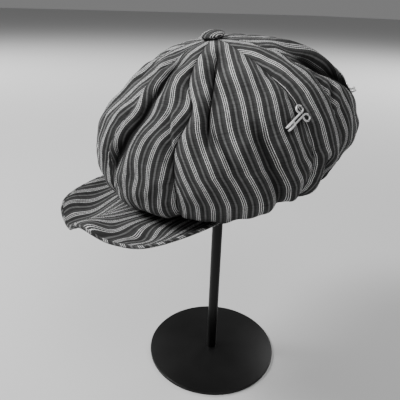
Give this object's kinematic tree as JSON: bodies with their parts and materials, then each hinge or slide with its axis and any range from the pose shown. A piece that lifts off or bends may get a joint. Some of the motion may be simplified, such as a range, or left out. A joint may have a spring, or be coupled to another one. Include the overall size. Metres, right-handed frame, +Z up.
{
  "type": "newsboy cap on display stand",
  "caption": "Full soft cap of striped cloth gores with a covered button and a short soft peak, resting on a plain metal stand with a thin post and a flat disc foot.",
  "frame": {"origin": "centre of the stand base's flat underside", "axes": "+Z up along the stand's post, -Y towards the front of the cap, where the peak points, +X towards the wearer's left"},
  "size_m": [0.2833, 0.3107, 0.4187],
  "materials": {
    "striped_cloth": "matte woven cloth with light pin stripes",
    "bright_metal": "polished wire",
    "black_metal": "satin black"
  },
  "bodies": {
    "root": {"crown_panel_1": "striped_cloth", "crown_panel_2": "striped_cloth", "crown_panel_3": "striped_cloth", "crown_panel_4": "striped_cloth", "crown_panel_5": "striped_cloth", "crown_panel_6": "striped_cloth", "crown_panel_7": "striped_cloth", "crown_panel_8": "striped_cloth", "crown_button": "striped_cloth", "headband": "striped_cloth", "peak": "striped_cloth", "hook_side": "bright_metal", "hook_back": "bright_metal", "stand_base": "black_metal", "stand_post": "black_metal", "stand_top": "black_metal"}
  },
  "joints": []
}
